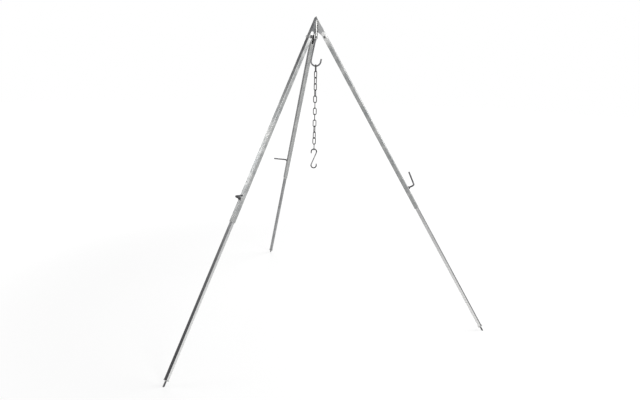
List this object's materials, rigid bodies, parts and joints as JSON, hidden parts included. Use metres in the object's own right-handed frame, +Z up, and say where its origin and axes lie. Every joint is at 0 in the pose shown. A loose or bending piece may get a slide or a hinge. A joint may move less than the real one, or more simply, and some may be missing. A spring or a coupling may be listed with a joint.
{
  "type": "cooking tripod",
  "caption": "Folding steel camp-fire tripod with telescoping square legs, screw clamps, a hanging hook, a link chain and an S-hook for a pot.",
  "frame": {"origin": "floor level, under the middle of the footprint's bounding box", "axes": "+Z up; +X along the line between the two front feet; +Y from them towards the rear leg"},
  "size_m": [1.5622, 1.3546, 1.4997],
  "materials": {
    "zinc_tube": "hot-dip galvanised, mottled, satin",
    "zinc_sheet": "hot-dip galvanised, dull",
    "zinc_bolt": "bright zinc plated",
    "zinc_rod": "zinc plated, satin",
    "zinc_dark": "dull dark zinc",
    "zinc_chain": "zinc plated, satin"
  },
  "bodies": {
    "head": {"head_arm_left": "zinc_sheet", "head_arm_right": "zinc_sheet", "head_arm_rear": "zinc_sheet", "hanger_post": "zinc_dark", "hook_pin": "zinc_dark", "pivot_bolt_left": "zinc_bolt", "pivot_washer_left": "zinc_bolt", "pivot_nut_left": "zinc_bolt", "pivot_bolt_right": "zinc_bolt", "pivot_washer_right": "zinc_bolt", "pivot_nut_right": "zinc_bolt", "pivot_bolt_rear": "zinc_bolt", "pivot_washer_rear": "zinc_bolt", "pivot_nut_rear": "zinc_bolt"},
    "leg_left": {"outer_tube_left": "zinc_tube", "clamp_nut_left": "zinc_dark"},
    "extension_left": {"inner_tube_left": "zinc_tube", "foot_washer_left": "zinc_sheet", "foot_pin_left": "zinc_dark"},
    "screw_left": {"clamp_screw_left": "zinc_dark"},
    "leg_right": {"outer_tube_right": "zinc_tube", "clamp_nut_right": "zinc_dark"},
    "extension_right": {"inner_tube_right": "zinc_tube", "foot_washer_right": "zinc_sheet", "foot_pin_right": "zinc_dark"},
    "screw_right": {"clamp_screw_right": "zinc_dark"},
    "leg_rear": {"outer_tube_rear": "zinc_tube", "clamp_nut_rear": "zinc_dark"},
    "extension_rear": {"inner_tube_rear": "zinc_tube", "foot_washer_rear": "zinc_sheet", "foot_pin_rear": "zinc_dark"},
    "screw_rear": {"clamp_screw_rear": "zinc_dark"},
    "hook": {"j_hook": "zinc_rod"},
    "link_01": {"chain_link_01": "zinc_chain"},
    "link_02": {"chain_link_02": "zinc_chain"},
    "link_03": {"chain_link_03": "zinc_chain"},
    "link_04": {"chain_link_04": "zinc_chain"},
    "link_05": {"chain_link_05": "zinc_chain"},
    "link_06": {"chain_link_06": "zinc_chain"},
    "link_07": {"chain_link_07": "zinc_chain"},
    "link_08": {"chain_link_08": "zinc_chain"},
    "link_09": {"chain_link_09": "zinc_chain"},
    "link_10": {"chain_link_10": "zinc_chain"},
    "link_11": {"chain_link_11": "zinc_chain"},
    "link_12": {"chain_link_12": "zinc_chain"},
    "link_13": {"chain_link_13": "zinc_chain"},
    "link_14": {"chain_link_14": "zinc_chain"},
    "s_hook": {"s_hook": "zinc_rod"}
  },
  "joints": [
    {"name": "leg_fold_left", "type": "hinge", "parent": "head", "child": "leg_left", "pos_m": [-0.03835, -0.24625, 1.40757], "axis": [0.5, -0.866, 0], "range_deg": [0, 29]},
    {"name": "leg_slide_left", "type": "slide", "parent": "leg_left", "child": "extension_left", "axis": [0.4486, 0.259, 0.8554], "range_m": [-0.08, 0.66]},
    {"name": "clamp_turn_left", "type": "hinge", "parent": "leg_left", "child": "screw_left", "pos_m": [-0.40308, -0.45683, 0.71216], "axis": [-0.7408, -0.4277, 0.518], "range_deg": [0, 360]},
    {"name": "leg_fold_right", "type": "hinge", "parent": "head", "child": "leg_right", "pos_m": [0.03835, -0.24625, 1.40757], "axis": [0.5, 0.866, 0], "range_deg": [0, 29]},
    {"name": "leg_slide_right", "type": "slide", "parent": "leg_right", "child": "extension_right", "axis": [-0.4486, 0.259, 0.8554], "range_m": [-0.08, 0.66]},
    {"name": "clamp_turn_right", "type": "hinge", "parent": "leg_right", "child": "screw_right", "pos_m": [0.40308, -0.45683, 0.71216], "axis": [0.7408, -0.4277, 0.518], "range_deg": [0, 360]},
    {"name": "leg_fold_rear", "type": "hinge", "parent": "head", "child": "leg_rear", "pos_m": [0, -0.17982, 1.40757], "axis": [-1, 0, 0], "range_deg": [0, 29]},
    {"name": "leg_slide_rear", "type": "slide", "parent": "leg_rear", "child": "extension_rear", "axis": [0, -0.518, 0.8554], "range_m": [-0.08, 0.66]},
    {"name": "clamp_turn_rear", "type": "hinge", "parent": "leg_rear", "child": "screw_rear", "pos_m": [0, 0.24133, 0.71216], "axis": [0, 0.8554, 0.518], "range_deg": [0, 360]},
    {"name": "hook_swing", "type": "hinge", "parent": "head", "child": "hook", "pos_m": [0, -0.22411, 1.407], "axis": [0.3305, 0.9438, 0], "range_deg": [-15, 15]},
    {"name": "link_01_swing", "type": "hinge", "parent": "hook", "child": "link_01", "pos_m": [0.00205, -0.22483, 1.27751], "axis": [0.9438, -0.3305, 0], "range_deg": [-15, 15]},
    {"name": "link_02_swing", "type": "hinge", "parent": "link_01", "child": "link_02", "pos_m": [0.00205, -0.22483, 1.25051], "axis": [-0.5635, -0.8261, 0], "range_deg": [-25, 25]},
    {"name": "link_03_swing", "type": "hinge", "parent": "link_02", "child": "link_03", "pos_m": [0.00205, -0.22483, 1.22171], "axis": [0.5105, -0.8599, 0], "range_deg": [-25, 25]},
    {"name": "link_04_swing", "type": "hinge", "parent": "link_03", "child": "link_04", "pos_m": [0.00205, -0.22483, 1.19291], "axis": [-0.8599, -0.5105, 0], "range_deg": [-25, 25]},
    {"name": "link_05_swing", "type": "hinge", "parent": "link_04", "child": "link_05", "pos_m": [0.00205, -0.22483, 1.16411], "axis": [0.5105, -0.8599, 0], "range_deg": [-25, 25]},
    {"name": "link_06_swing", "type": "hinge", "parent": "link_05", "child": "link_06", "pos_m": [0.00205, -0.22483, 1.13531], "axis": [-0.6334, -0.7738, 0], "range_deg": [-25, 25]},
    {"name": "link_07_swing", "type": "hinge", "parent": "link_06", "child": "link_07", "pos_m": [0.00205, -0.22483, 1.10651], "axis": [0.9438, -0.3305, 0], "range_deg": [-25, 25]},
    {"name": "link_08_swing", "type": "hinge", "parent": "link_07", "child": "link_08", "pos_m": [0.00205, -0.22483, 1.07771], "axis": [-0.3305, -0.9438, 0], "range_deg": [-25, 25]},
    {"name": "link_09_swing", "type": "hinge", "parent": "link_08", "child": "link_09", "pos_m": [0.00205, -0.22483, 1.04891], "axis": [0.9438, -0.3305, 0], "range_deg": [-25, 25]},
    {"name": "link_10_swing", "type": "hinge", "parent": "link_09", "child": "link_10", "pos_m": [0.00205, -0.22483, 1.02011], "axis": [-0.3305, -0.9438, 0], "range_deg": [-25, 25]},
    {"name": "link_11_swing", "type": "hinge", "parent": "link_10", "child": "link_11", "pos_m": [0.00205, -0.22483, 0.99131], "axis": [0.9438, -0.3305, 0], "range_deg": [-25, 25]},
    {"name": "link_12_swing", "type": "hinge", "parent": "link_11", "child": "link_12", "pos_m": [0.00205, -0.22483, 0.96251], "axis": [0.0558, -0.9984, 0], "range_deg": [-25, 25]},
    {"name": "link_13_swing", "type": "hinge", "parent": "link_12", "child": "link_13", "pos_m": [0.00205, -0.22483, 0.93371], "axis": [0.9011, 0.4337, 0], "range_deg": [-25, 25]},
    {"name": "link_14_swing", "type": "hinge", "parent": "link_13", "child": "link_14", "pos_m": [0.00205, -0.22483, 0.90491], "axis": [0.7455, -0.6665, 0], "range_deg": [-25, 25]},
    {"name": "s_hook_swing", "type": "hinge", "parent": "link_14", "child": "s_hook", "pos_m": [0.00205, -0.22483, 0.87611], "axis": [-0.3305, -0.9438, 0], "range_deg": [-20, 20]}
  ]
}
